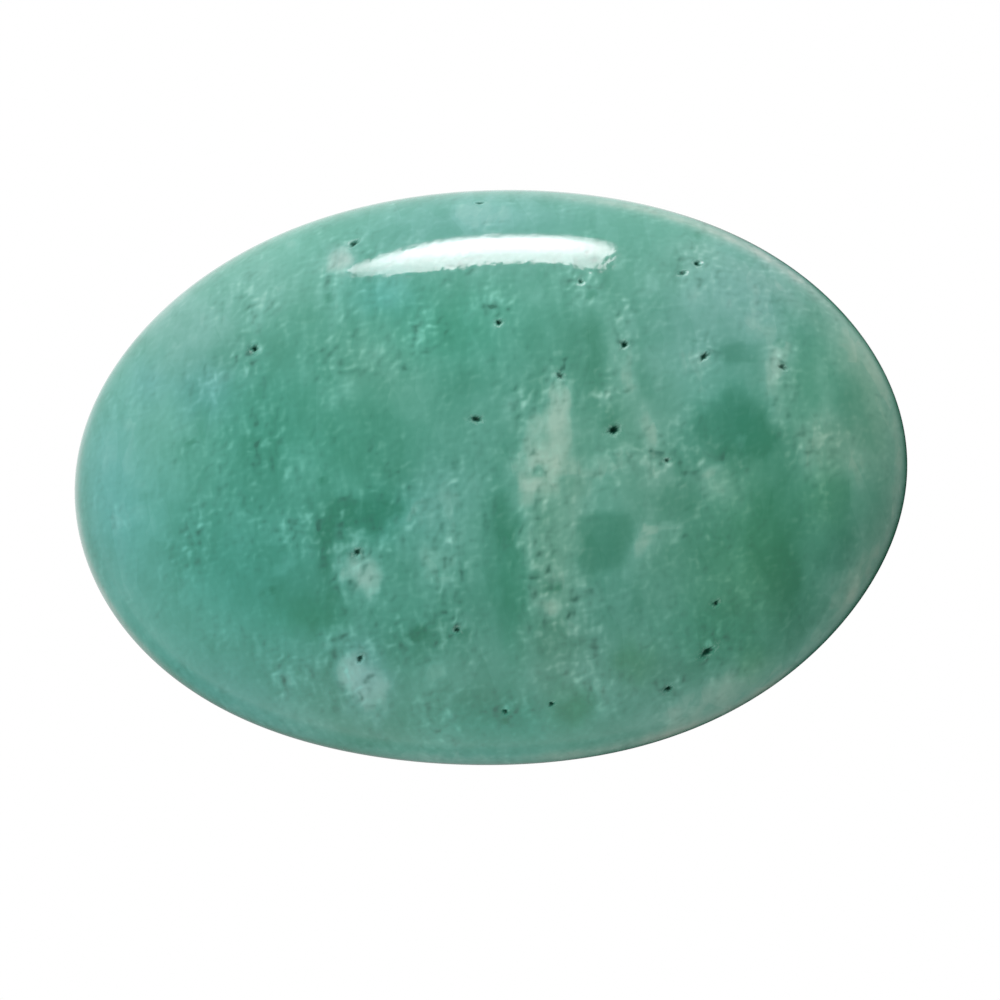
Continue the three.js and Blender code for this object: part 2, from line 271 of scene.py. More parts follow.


# Clouds in the stone: along, across, half length along, half length across, lean to
# the right in degrees, strength. Pale clouds are feldspar turned milky, deep ones are clear.
clouds = {
    "pale": [
        # the wedge in the middle and the column under it
        (4.3, 2.9, 1.4, 3.4, 22, 0.76),
        (3.4, 0.4, 1.8, 1.6, 10, 0.42),
        (3.9, -1.4, 1.3, 1.1, 0, 0.40),
        (5.6, 5.6, 0.8, 1.7, 8, 0.45),
        (3.2, 4.0, 0.5, 1.6, 25, 0.35),
        (1.9, 5.6, 0.4, 1.3, 20, 0.40),
        (2.5, -1.6, 0.5, 1.4, 15, 0.55),
        (4.2, -4.6, 2.4, 3.6, 0, 0.28),
        (4.0, -9.0, 2.2, 2.2, 0, 0.30),
        (6.9, -9.6, 0.9, 1.0, 0, 0.36),
        (3.5, -9.8, 0.9, 0.6, 20, 0.40),
        (5.6, -11.6, 0.4, 0.8, 30, 0.45),
        (7.2, -14.6, 1.4, 2.8, 0, 0.32),
        (5.0, -15.3, 0.5, 0.6, 0, 0.40),
        (2.1, -14.8, 0.5, 0.6, 0, 0.35),
        (7.6, -17.6, 0.5, 1.2, 10, 0.30),
        # to the right of it
        (9.0, 0.6, 4.2, 0.9, 0, 0.42),
        (8.2, -1.4, 2.2, 1.8, 0, 0.25),
        (8.9, 5.6, 0.3, 1.1, 35, 0.45),
        (11.9, 3.2, 0.7, 1.7, 0, 0.60),
        (10.7, 8.0, 0.5, 1.7, 0, 0.40),
        (9.2, 9.8, 0.5, 2.2, 0, 0.28),
        (12.6, -1.2, 1.6, 0.9, 40, 0.35),
        (12.4, -4.9, 1.8, 0.8, 0, 0.30),
        (10.6, -6.3, 0.5, 1.8, 30, 0.36),
        (16.8, -0.3, 1.1, 0.5, -35, 0.60),
        (16.9, -1.9, 1.2, 1.0, 0, 0.20),
        (18.8, 1.8, 0.5, 0.5, 0, 0.60),
        (16.4, 7.2, 1.6, 2.2, 20, 0.35),
        (14.0, 9.0, 1.8, 2.4, 0, 0.18),
        (20.4, 9.6, 1.1, 1.3, 0, 0.35),
        (21.6, 5.6, 0.8, 2.8, -8, 0.45),
        (22.6, 9.0, 0.9, 1.9, 0, 0.38),
        (25.6, 1.0, 2.3, 2.4, 0, 0.36),
        (28.3, -1.0, 1.0, 1.6, 0, 0.38),
        (22.6, -3.0, 0.8, 1.8, 30, 0.20),
        # the two small white clouds at the lower left
        (-10.5, -6.5, 1.5, 2.1, -20, 0.55),
        (-11.3, -6.2, 0.7, 1.1, 0, 0.45),
        (-9.6, -7.2, 1.0, 1.4, -35, 0.45),
        (-10.5, -14.8, 1.8, 2.4, -8, 0.72),
        (-11.3, -14.2, 0.9, 1.3, 0, 0.50),
        (-9.6, -16.2, 0.9, 1.4, -10, 0.45),
        (-12.6, -11.3, 1.3, 0.7, 0, 0.42),
        (-16.3, -13.9, 0.5, 0.7, 0, 0.60),
        (-16.1, -6.0, 0.5, 0.6, 0, 0.55),
        # the left half
        (-3.4, -1.6, 2.2, 2.6, 25, 0.24),
        (-6.9, -3.0, 0.4, 1.9, 45, 0.55),
        (-4.6, -6.4, 1.5, 1.5, 0, 0.38),
        (-5.0, -14.2, 1.0, 1.1, 0, 0.38),
        (-4.0, -17.2, 0.4, 1.4, 25, 0.40),
        (-7.0, -19.4, 2.6, 1.2, -10, 0.24),
        (-15.1, -11.4, 1.6, 1.4, 0, 0.15),
        (-3.2, -11.0, 0.9, 0.4, -30, 0.40),
        (-5.9, -10.8, 0.7, 0.4, 25, 0.40),
        (-10.9, 7.1, 0.5, 1.4, 35, 0.40),
        (-8.2, 9.8, 0.4, 1.0, 30, 0.30),
        (-11.2, 12.8, 0.5, 2.6, 5, 0.30),
        (-4.6, 11.4, 0.7, 1.7, 20, 0.32),
        (-13.6, 10.0, 0.3, 1.6, 5, 0.25),
        (-18.3, 0.0, 1.0, 3.0, 10, 0.14),
        (-17.0, 13.6, 0.6, 1.6, 25, 0.30),
        (-20.6, 8.6, 0.5, 1.2, 50, 0.20),
        (-23.5, 13.5, 3.6, 2.6, 40, 0.26),
        (-16.5, 17.0, 3.4, 1.8, -15, 0.30),
        # these two: the pale grey smear at the highlight's left tip, a painted highlight
        (-11.3, 16.8, 1.2, 1.4, 20, 0.35),
        (-10.6, 17.0, 0.8, 0.9, 30, 0.55),
        (-28.3, 2.0, 2.6, 4.2, 0, 0.38),
        (-26.5, 8.0, 2.4, 2.6, 30, 0.26),
        (-24.3, 3.5, 1.2, 3.6, 0, 0.20),
        (-27.5, -5.0, 2.6, 4.6, -10, 0.28),
        (-22.0, -9.5, 3.5, 3.2, 0, 0.12),
        (-24.0, -1.5, 3.0, 3.0, 0, 0.08),
        # under the highlight and the top right
        (0.9, 13.1, 0.9, 0.4, 0, 0.45),
        (4.2, 13.6, 0.3, 1.2, 25, 0.28),
        (-6.8, 14.6, 1.2, 1.0, 0, 0.28),
        (7.9, 13.6, 1.1, 1.5, 0, 0.34),
        (0.8, 20.3, 2.6, 1.4, 0, 0.42),
        (19.5, 13.5, 4.5, 2.8, 0, 0.28),
        (12.6, 14.2, 0.5, 0.6, 0, 0.35),
        (17.6, 17.0, 1.6, 0.5, 20, 0.30),
        (25.0, 9.5, 2.4, 3.6, -30, 0.20),
        # the right rim, greyish
        (14.8, -18.3, 4.6, 1.5, -24, 0.66),
        (22.6, -15.2, 4.0, 1.2, -38, 0.52),
        (27.3, -8.9, 1.1, 3.0, 32, 0.60),
        (30.6, 1.0, 1.2, 6.0, 0, 0.40),
        (28.8, 8.0, 1.2, 3.0, -25, 0.45),
        (0.0, -21.4, 8.0, 0.8, 0, 0.25),
        (-20.5, -15.0, 7.0, 1.8, 33, 0.19),
        (-28.5, -8.0, 1.4, 4.0, -25, 0.20),
    ],
    "deep": [
        # the darkest, at the right
        (20.5, 2.6, 1.7, 2.4, -15, 0.62),
        (17.2, 2.4, 2.6, 2.2, -20, 0.40),
        (18.7, 0.2, 1.8, 1.2, -30, 0.35),
        (19.0, 8.4, 1.3, 0.9, 0, 0.35),
        (21.6, -5.5, 2.0, 5.0, 0, 0.54),
        (22.0, -10.5, 1.6, 3.4, 0, 0.42),
        (25.0, -4.5, 1.8, 3.0, 0, 0.32),
        (26.0, -7.0, 1.4, 1.8, 30, 0.35),
        (17.0, -12.0, 2.6, 2.8, 0, 0.52),
        (19.5, -6.5, 5.5, 6.5, 0, 0.09),
        (16.6, -5.6, 2.6, 2.2, 0, 0.42),
        (27.4, 4.0, 1.1, 2.2, 0, 0.42),
        (24.4, 7.0, 1.0, 2.6, 0, 0.28),
        (14.3, 0.3, 0.7, 0.6, 0, 0.40),
        (13.9, -2.4, 1.3, 1.3, 0, 0.40),
        (13.4, 11.4, 1.8, 1.6, 0, 0.25),
        (12.2, 7.0, 0.6, 1.6, 0, 0.25),
        (9.3, 3.9, 0.7, 0.9, 0, 0.50),
        # crisp straight ones in the middle
        (8.1, -5.4, 1.9, 1.9, 0, 0.34),
        (1.0, -7.0, 0.8, 4.6, -4, 0.46),
        (-0.8, -9.4, 1.6, 1.8, 0, 0.32),
        (0.6, -2.8, 0.7, 1.8, -10, 0.35),
        (8.2, 8.6, 0.8, 3.2, 4, 0.55),
        (6.1, 10.0, 0.7, 2.2, 0, 0.30),
        (3.8, 7.2, 0.6, 1.2, 25, 0.35),
        (3.9, 11.0, 0.7, 1.8, 20, 0.22),
        (-2.2, 12.6, 1.3, 2.3, 0, 0.35),
        (-1.6, 7.2, 1.8, 1.1, 0, 0.32),
        (9.6, 14.4, 0.6, 1.4, 0, 0.30),
        (3.4, 0.3, 0.5, 0.5, 0, 0.60),
        (1.9, -5.0, 0.5, 1.8, 0, 0.25),
        (3.4, -13.0, 0.7, 1.2, 0, 0.35),
        (-4.3, -11.9, 1.1, 0.9, 0, 0.25),
        # lower left and left
        (-8.8, -2.1, 2.0, 1.7, 25, 0.60),
        (-6.9, 0.7, 1.0, 1.2, 0, 0.40),
        (-12.0, -2.4, 1.6, 1.6, 0, 0.50),
        (-12.5, -5.0, 1.0, 1.6, 0, 0.75),
        (-14.4, -8.2, 2.3, 2.2, 0, 0.55),
        (-8.7, -7.7, 0.5, 0.6, 0, 0.55),
        (-12.8, -15.0, 0.4, 2.2, 0, 0.45),
        (-9.4, 3.6, 3.0, 2.6, 0, 0.38),
        (-17.4, 3.8, 2.2, 4.0, 0, 0.36),
        (-17.8, 10.6, 2.4, 1.6, 20, 0.35),
        (-14.0, 11.5, 2.6, 2.2, 0, 0.20),
        (-15.4, 6.6, 2.0, 1.4, 30, 0.20),
        (-12.5, 3.0, 2.2, 2.2, 0, 0.12),
        (-1.6, 10.4, 1.8, 1.4, 0, 0.12),
        (-6.3, -11.7, 0.7, 0.5, 0, 0.80),
        (-6.2, -11.8, 2.2, 1.6, 0, 0.35),
        (-2.7, -11.8, 0.6, 0.4, 0, 0.50),
        (-21.8, -3.4, 1.1, 2.4, 25, 0.28),
        (-24.2, -5.0, 0.8, 2.6, 15, 0.20),
        (-18.6, -6.6, 2.4, 2.4, 0, 0.22),
        (-26.4, 0.3, 0.6, 0.5, 30, 0.35),
        # the bottom
        (5.5, -17.8, 1.2, 1.0, 0, 0.60),
        (3.9, -11.4, 0.8, 0.8, 0, 0.50),
        (4.0, -8.4, 0.6, 0.5, 0, 0.65),
        (2.9, -7.0, 0.3, 1.3, 15, 0.45),
        (9.6, -14.4, 0.9, 1.2, 0, 0.45),
        (10.6, -9.3, 0.5, 2.2, 0, 0.34),
        (12.8, -15.2, 2.0, 0.8, 0, 0.32),
        (-0.8, -17.2, 2.2, 1.6, 0, 0.35),
        (-9.6, -18.8, 2.6, 0.9, -15, 0.30),
        # faint specks
        (-11.7, 14.4, 0.3, 0.3, 0, 0.8),
        (-22.6, 3.6, 0.3, 0.3, 0, 0.8),
        (8.1, 13.5, 0.3, 0.3, 0, 0.9),
        (22.4, 9.0, 0.4, 0.25, 0, 0.9),
        (16.6, 17.6, 0.3, 0.3, 0, 0.8),
        (-6.3, -11.9, 0.35, 0.3, 0, 0.9),
        (-12.8, 0.4, 0.3, 0.3, 0, 0.8),
        (-17.2, -7.9, 0.35, 0.3, 0, 0.8),
        (0.2, -18.7, 0.3, 0.3, 0, 0.8),
        (4.4, -8.4, 0.35, 0.35, 0, 0.8),
    ],
    # Casts of colour, in the same form: how grey and how blue they are
    "casts": [
        (-23.0, 13.0, 6.5, 4.0, 40, 0.40, 0.25),
        (-16.5, 16.5, 3.5, 2.5, 0, 0.20, 0.10),
        # the next one: greyer and bluer at the highlight's left tip, part of its painted highlight
        (-10.6, 17.2, 1.0, 1.0, 30, 0.45, 0.20),
        (-29.5, 1.0, 3.6, 8.0, 0, 0.0, 0.40),
        (-26.0, 9.0, 1.5, 1.5, 0, 0.0, 0.25),
        (0.0, 19.8, 9.0, 3.0, 0, 0.24, 0.35),
        (20.0, 13.5, 8.0, 4.5, -30, 0.38, 0.30),
        (22.0, 5.0, 1.6, 4.0, 0, 0.30, 0.0),
        (25.5, 1.2, 2.4, 2.0, 0, 0.40, 0.0),
        (29.5, 3.0, 3.0, 8.0, -5, 0.50, -0.15),
        (28.0, -9.6, 2.6, 5.0, 30, 0.42, -0.05),
        (16.0, -18.5, 7.0, 1.8, -28, 0.34, 0.05),
        (-4.0, -21.3, 6.0, 1.0, 0, 0.10, 0.10),
        (-20.5, -16.0, 7.0, 2.0, 33, 0.05, 0.20),
        (4.2, -6.5, 2.0, 10.0, 0, 0.32, -0.10),
        (6.4, -1.0, 1.0, 3.6, 0, 0.28, 0.0),
        (12.2, -1.0, 2.4, 6.5, 0, 0.28, 0.0),
        (17.5, -0.8, 3.0, 2.4, 0, 0.30, 0.0),
        (9.0, 5.0, 3.4, 7.0, 0, 0.16, -0.08),
        (-8.0, 8.5, 3.4, 2.4, 30, 0.16, 0.0),
        (-4.5, -1.5, 2.4, 3.4, 25, 0.04, 0.15),
        (-10.3, -14.5, 1.6, 2.6, 0, 0.10, 0.30),
        (-10.5, -6.0, 1.2, 2.0, 0, 0.25, 0.10),
        (-21.0, -7.5, 9.0, 8.0, 0, -0.48, 0.08),
        (-28.5, -1.5, 3.0, 3.5, 0, -0.12, 0.0),
        (-17.5, 6.5, 4.0, 5.0, 0, -0.28, -0.05),
        (-10.5, 3.0, 5.0, 4.5, 20, -0.18, -0.10),
        (-8.5, -2.5, 2.4, 2.0, 0, -0.28, 0.0),
        (-14.5, -9.5, 2.6, 1.4, 0, -0.15, -0.20),
        (1.0, -9.0, 1.2, 5.5, 0, -0.28, -0.15),
        (0.5, -18.8, 6.0, 2.4, 0, -0.56, -0.08),
        (5.5, -17.6, 1.3, 1.3, 0, -0.25, -0.35),
        (16.2, -13.0, 3.2, 2.4, 0, -0.38, -0.15),
        (19.8, 2.6, 3.4, 2.8, -20, -0.22, -0.05),
        (21.0, -6.5, 3.2, 6.0, 0, -0.12, -0.35),
        (25.5, -2.8, 1.8, 2.8, 0, 0.0, -0.30),
        (17.0, -8.5, 4.0, 6.0, 0, 0.0, -0.25),
        (10.0, -14.5, 1.4, 1.4, 0, -0.10, -0.35),
        (19.2, -15.0, 1.2, 1.2, 0, 0.0, -0.25),
        (-17.0, -14.0, 5.0, 3.0, 0, -0.10, 0.05),
        (-7.0, -12.5, 3.0, 5.0, 0, -0.20, -0.05),
        (-2.6, 11.6, 5.0, 3.0, 0, -0.30, -0.12),
        (-7.6, 14.6, 2.6, 1.8, 0, -0.22, 0.20),
        (-21.7, 7.9, 2.4, 2.2, 0, -0.10, 0.28),
        (17.5, 17.2, 4.0, 1.4, -28, 0.16, 0.0),
        (24.5, 6.0, 2.0, 4.0, 0, 0.0, -0.18),
    ],
    # Bands along the rim, painted reflection: paler where the edge mirrors the bright table,
    # darker where it mirrors the stone's shade on it. Bearing and half spread in degrees, distance
    # in from the rim and half width in millimetres, how milky and how grey
    "rimReflections": [
        (50, 24, 0.62, 0.42, 0.50, 0.60),
        (352, 15, 0.85, 0.50, 0.38, 0.05),
        (2, 24, 0.16, 0.24, -0.60, 0.10),
        (24, 15, 1.80, 1.40, 0.06, 0.22),
        (36, 14, 1.60, 0.50, -0.14, -0.10),
        (75, 36, 0.10, 0.25, -0.22, 0.0),
        (335, 14, 0.16, 0.24, -0.62, 0.0),
        (312, 14, 0.25, 0.35, 0.32, 0.45),
        (290, 14, 0.50, 0.60, 0.06, 0.45),
        (270, 26, 0.70, 0.50, 0.40, 0.0),
        (225, 24, 0.95, 0.60, 0.24, 0.0),
        (227, 22, 0.24, 0.22, -0.60, 0.0),
        (190, 22, 0.34, 0.26, 0.34, 0.75),
        (135, 20, 0.45, 0.22, 0.20, 0.05),
    ],
    # Where the stone is crumbly with small cleavage cracks, in the same form as the clouds
    "crumbly": [
        (-10.8, -6.0, 1.6, 2.0, 0, 1.0),
        (-11.2, -13.8, 1.9, 2.6, 0, 1.0),
        (-16.0, -13.8, 1.8, 2.0, 0, 0.7),
        (-4.6, 11.2, 1.1, 2.2, 15, 1.0),
        (-8.6, 9.2, 2.0, 1.4, 30, 0.6),
        (-12.0, 8.5, 1.2, 3.4, 20, 0.4),
        (-17.8, 10.2, 1.2, 1.6, 0, 0.7),
        (-20.8, 8.8, 1.2, 1.4, 40, 0.7),
        (-17.0, 3.2, 2.2, 2.4, 20, 0.7),
        (-22.5, -2.6, 1.2, 4.2, 25, 0.7),
        (-14.2, -3.0, 3.4, 1.8, 0, 0.8),
        (-5.0, -2.5, 3.6, 3.8, 0, 0.42),
        (-3.6, -9.4, 1.4, 3.2, 15, 0.8),
        (-6.0, -12.0, 3.0, 1.2, 0, 0.8),
        (-4.6, -17.6, 1.4, 1.8, 20, 0.9),
        (0.4, -17.6, 1.8, 1.4, 0, 0.8),
        (3.4, -7.2, 1.7, 3.4, 0, 0.65),
        (5.4, -12.4, 2.0, 2.8, 0, 0.65),
        (6.8, -16.4, 1.6, 1.8, 0, 0.7),
        (3.2, 1.0, 1.5, 2.4, 10, 0.7),
        (2.6, 6.2, 1.4, 2.0, 20, 0.7),
        (5.4, 7.6, 0.8, 1.6, 0, 0.8),
        (9.0, 5.4, 0.9, 1.6, 20, 0.9),
        (8.6, 0.6, 4.0, 1.4, 0, 0.45),
        (13.2, 0.8, 1.8, 1.8, 0, 0.55),
        (17.2, 0.4, 1.6, 1.2, 0, 0.8),
        (7.0, -3.0, 1.6, 1.0, 0, 0.6),
        (10.4, 10.6, 0.8, 2.0, 0, 0.8),
        (7.8, 14.0, 1.2, 1.2, 0, 0.9),
        (1.2, 13.0, 1.4, 1.2, 0, 0.7),
        (16.6, 8.6, 1.2, 1.2, 0, 0.8),
        (22.4, 8.0, 1.2, 3.6, 0, 0.55),
        (25.6, 0.8, 2.0, 2.0, 0, 0.4),
        (16.2, -13.6, 2.0, 1.4, 40, 0.7),
        (12.6, -16.4, 1.6, 0.8, 0, 0.9),
        (18.0, -8.5, 3.6, 4.0, 0, 0.22),
        (-17.8, 14.4, 1.8, 1.4, 0, 0.6),
        (-9.6, 18.4, 1.0, 1.0, 0, 0.8),
        (16.0, 15.2, 1.6, 1.2, 0, 0.6),
        (8.4, 16.2, 1.8, 1.1, 0, 0.5),
        (-1.8, 16.6, 1.8, 1.0, 0, 0.7),
        (-11.0, 16.2, 1.4, 0.9, 10, 1.0),
        # and where it is smooth
        (-29.0, 2.0, 4.5, 12.0, 0, -0.20),
        (-23.0, 14.0, 5.0, 4.0, 40, -0.15),
        (0.0, 20.5, 12.0, 1.6, 0, -0.15),
        (-6.0, 6.6, 2.6, 2.0, 0, -0.20),
        (10.0, -3.0, 2.4, 2.0, 0, -0.25),
        (8.2, -5.6, 1.8, 1.6, 0, -0.25),
        (18.4, 6.6, 2.0, 2.6, 0, -0.25),
        (29.0, 2.0, 3.0, 12.0, 0, -0.20),
        (-17.5, -7.5, 3.0, 2.4, 0, -0.20),
        (0.4, -9.6, 1.2, 3.0, 0, -0.25),
    ],
    # Slabs with crisp straight sides, pale above 0 and deep below, in the same form
    "slabs": [
        (5.6, 3.2, 0.9, 3.0, 0, 0.30),
        (0.6, -6.8, 1.1, 5.2, -3, -0.28),
        (8.3, -5.3, 1.85, 2.0, 0, -0.45),
        (10.5, -6.9, 0.6, 1.5, 18, 0.35),
        (12.7, -4.3, 1.4, 0.3, -5, 0.40),
        (18.8, 2.6, 2.4, 2.4, 45, -0.30),
        (21.2, -3.5, 1.9, 6.0, 3, -0.25),
        (12.9, 5.6, 2.4, 0.9, 0, 0.16),
        (13.6, 3.2, 1.6, 1.2, 0, 0.14),
        (8.0, 4.2, 1.6, 0.8, 0, -0.25),
        (16.3, -1.0, 1.4, 1.1, 10, 0.22),
        (-9.3, -2.4, 2.6, 1.1, 12, -0.40),
        (-13.7, -9.9, 2.1, 1.6, 0, -0.20),
        (-12.4, -5.6, 0.5, 2.8, 0, -0.30),
        (-4.0, -2.6, 2.4, 3.4, 20, 0.16),
        (-19.6, 13.2, 2.4, 1.9, 0, 0.14),
        (10.6, 8.9, 0.9, 2.8, 0, 0.20),
        (7.6, 8.6, 1.0, 3.4, 0, -0.22),
        (16.3, 9.2, 1.5, 1.5, 0, 0.12),
        (20.3, 11.0, 1.4, 1.5, 0, 0.12),
        (22.2, 6.5, 1.0, 2.4, 0, 0.12),
        (18.9, 8.5, 1.6, 0.7, 0, -0.25),
        (24.3, 9.8, 0.8, 0.7, 0, -0.15),
        (-18.0, 0.2, 0.8, 3.6, 4, -0.14),
        (-14.2, 1.6, 1.4, 1.8, 0, 0.12),
        (-3.4, 16.0, 1.8, 1.6, 0, -0.12),
    ],
    "calm": 0.30,                # how crumbly the rest is
    # A cloud's edge: 2 is a soft bell and more a plateau with steeper sides, then how square it
    # is, where 2 is an oval
    "softEdge": (2, 2),
    "cloudEdge": (4.2, 2.5),
    "slabEdge": (18, 6),
    "sizeShare": 1.12,           # the plateau's half length, as a share of the one listed
    "wander": 0.36,              # how far a cloud's edge strays, in millimetres
    "greyBase": 0.45,            # how grey and how blue the stone is where nothing is listed
    "blueBase": 0.5,
    "crumblyRange": (0.1, 1.1),
    "keelCount": 60,             # clouds of the lower dome
    "keelHalfSize": (0.8, 3.6),
    "keelLean": 30,
    "keelStrength": 0.8,
    "keelFrom": (0.2, 0.7),      # shares of the way down where they start and have taken over
    "unroll": 1.6,               # how much of the plan each millimetre below the rim takes
}

# Random unevenness in the stone. Each layer gives its cell in millimetres, its crispness, its
# strength, and whether it follows the small leaning blocks between cleavage planes.
unevenness = {
    "seed": 23,
    "blockLean": 0.14,
    "blockStretch": (1, 0.55, 0.55),
    "softWanderX": (1.8, 0, 1, False),
    "softWanderY": (2.4, 0, 1, False),
    "blockWanderX": (0.8, 0.6, 0.9, True),
    "blockWanderY": (0.9, 0.6, 0.9, True),
    "coarseMilk": (1.4, 0.7, 0.12, True),
    "fineMilk": (0.7, 0.5, 0.08, True),
    "colourDrift": (5.0, 0, 0.25, False),
    "crumbly": (1.5, 0.4, 0.25, True),
    "keelCrumbly": (2.6, 0, 1, False),
}


# Random values in space: random numbers on a lattice, blended by smooth steps. A crispness
# above 0 narrows the steps, so that each cell of the lattice is nearly even inside, as the
# small blocks between cleavage planes are.
def latticeNoise(points, cell, crispness, random):
    size = 32
    table = random.random((size, size, size))
    place = points / cell
    base = np.floor(place).astype(int)
    part = smoothStep(crispness / 2, 1 - crispness / 2, place - base)
    total = np.zeros(len(points))
    for corner in np.ndindex(2, 2, 2):
        index = (base + corner) % size
        weight = np.prod(np.where(np.array(corner) == 1, part, 1 - part), axis=1)
        total += weight * table[index[:, 0], index[:, 1], index[:, 2]]
    return total * 2 - 1


# The sum of some clouds over places on a plan. Each is a plateau of its own size and lean: the
# strength times e to the minus the distance in half lengths, raised to the sharpness.
def cloudSum(x, y, cloudList, edge, kind=0):
    total = np.zeros_like(x)
    sharpness, squareness = edge
    for along, across, halfAlong, halfAcross, lean, *strengths in cloudList:
        cosLean, sinLean = math.cos(math.radians(lean)), math.sin(math.radians(lean))
        offX, offY = x - along, y - across
        distanceX = (offX * cosLean - offY * sinLean) / halfAlong
        distanceY = (offX * sinLean + offY * cosLean) / halfAcross
        distance = np.abs(distanceX) ** squareness + np.abs(distanceY) ** squareness
        distance = distance ** (1 / squareness)
        total += strengths[kind] * np.exp(-((distance / clouds["sizeShare"]) ** sharpness))
    return total


# The sum of the rim's bands of painted reflection, on the upper dome. A point's distance in from
# the rim is its share of the way in, divided by how fast that share changes there. A band's
# strength falls off as e to the minus the fourth power along the rim, and to the minus the square
# across.
def rimSum(points, kind):
    unitX, unitY = points[:, 0] / halfLength, points[:, 1] / halfWidth
    bearing = np.degrees(np.arctan2(points[:, 1], points[:, 0]))
    share = np.hypot(unitX, unitY) / outlineAt(np.arctan2(unitY, unitX))
    inward = (1 - share) * share / (np.hypot(unitX / halfLength, unitY / halfWidth) + 1e-9)
    total = np.zeros(len(points))
    for centre, spread, inset, halfBreadth, *strengths in clouds["rimReflections"]:
        turned = (bearing - centre + 180) % 360 - 180
        nearness = np.exp(-((turned / spread) ** 4))
        nearness = nearness * np.exp(-(((inward - inset) / halfBreadth) ** 2))
        total += strengths[kind] * nearness
    return total * (points[:, 2] > girthHeight - stone["hair"])


# The lower dome has clouds of its own, in the same form, of random places and sizes.
def keelClouds(random):
    low, high = clouds["keelHalfSize"]
    count = clouds["keelCount"]
    share = np.sqrt(random.random(count))
    turn = random.uniform(0, 2 * math.pi, count)
    mostLean = clouds["keelLean"]
    found = []
    for outward, angle in zip(share, turn):
        halfAlong, halfAcross = np.sort(random.uniform(low, high, 2))
        place = (halfLength * outward * math.cos(angle), halfWidth * outward * math.sin(angle))
        strength = random.uniform(-1, 1) * clouds["keelStrength"]
        lean = random.uniform(-mostLean, mostLean)
        found.append((*place, halfAlong, halfAcross, lean, strength))
    return found


# What the stone is like at each point: how milky (1) or clear (-1), how grey and how blue (0 to
# 1), and how crumbly; milk and grey also carry the rim's painted reflection and the painted tip of
# the highlight. The plan is unrolled outwards past the rim, so that a cloud at the rim runs on
# round it, until the lower dome's own clouds take over.
def mineralFields(points):
    random = np.random.default_rng(unevenness["seed"])
    lean = unevenness["blockLean"]
    blocks = points @ np.array([[1, lean, 0], [-lean, 1, 0], [0, 0, 1]])
    blocks = blocks * np.array(unevenness["blockStretch"])

    def uneven(layer):
        cell, crispness, strength, blocky = unevenness[layer]
        return strength * latticeNoise(blocks if blocky else points, cell, crispness, random)

    wanderX = uneven("softWanderX") + uneven("blockWanderX")
    wanderY = uneven("softWanderY") + uneven("blockWanderY")
    x = points[:, 0] + clouds["wander"] * wanderX
    y = points[:, 1] + clouds["wander"] * wanderY
    below = np.maximum(girthHeight - points[:, 2], 0)
    reach = np.hypot(points[:, 0], points[:, 1]) + 1e-6
    unrolledX = x + points[:, 0] / reach * below * clouds["unroll"]
    unrolledY = y + points[:, 1] / reach * below * clouds["unroll"]
    start, full = clouds["keelFrom"]
    keelShare = smoothStep(start * girthHeight, full * girthHeight, below)
    crownShare = 1 - keelShare

    def listed(name, edge, kind=0):
        return cloudSum(unrolledX, unrolledY, clouds[name], clouds[edge], kind) * crownShare

    milk = listed("pale", "cloudEdge")
    milk -= listed("deep", "cloudEdge")
    halfX = (x + points[:, 0]) / 2  # a slab's sides stray half as far as a cloud's
    halfY = (y + points[:, 1]) / 2
    milk += cloudSum(halfX, halfY, clouds["slabs"], clouds["slabEdge"]) * crownShare
    milk += cloudSum(x, y, keelClouds(random), clouds["cloudEdge"]) * keelShare
    # painted reflection along the rim: paler where the edge mirrors the bright table, darker where
    # it mirrors the stone's shade
    milk += rimSum(points, 0)
    milk += uneven("coarseMilk") + uneven("fineMilk")
    drift = uneven("colourDrift") * keelShare
    # greyer along parts of the rim: painted reflection
    grey = clouds["greyBase"] + rimSum(points, 1) + drift
    grey += listed("casts", "softEdge", 0)
    blue = clouds["blueBase"] - drift
    blue += listed("casts", "softEdge", 1)
    crumbly = clouds["calm"] + uneven("crumbly")
    crumbly += cloudSum(x, y, clouds["crumbly"], clouds["softEdge"]) * crownShare
    crumbly += np.clip(uneven("keelCrumbly"), 0, 1) * keelShare
    crumbly = np.clip(crumbly, *clouds["crumblyRange"])
    return {"milk": milk, "grey": grey, "blue": blue, "crumbly": crumbly}


# One output of a node. Sums on wires add Math nodes, so a pattern reads as a formula.
class Wire:
    def __init__(self, net, socket):
        self.net = net
        self.socket = socket

    def math(self, operation, *values):
        inputs = dict(enumerate((self, *values)))
        return self.net.node("ShaderNodeMath", {"operation": operation}, inputs)

    def __add__(self, other):
        return self.math("ADD", other)

    def __radd__(self, other):
        return self.math("ADD", other)

    def __sub__(self, other):
        return self.math("SUBTRACT", other)

    def __rsub__(self, other):
        return (self * -1) + other

    def __mul__(self, other):
        return self.math("MULTIPLY", other)

    def __rmul__(self, other):
        return self.math("MULTIPLY", other)

    # 0 below low, 1 above high and a smooth step between, or the other way round
    def step(self, low, high):
        settings = {"interpolation_type": "SMOOTHSTEP"}
        falls = low > high
        inputs = {"Value": self, "From Min": min(low, high), "From Max": max(low, high)}
        inputs["To Min"], inputs["To Max"] = (1, 0) if falls else (0, 1)
        return self.net.node("ShaderNodeMapRange", settings, inputs)


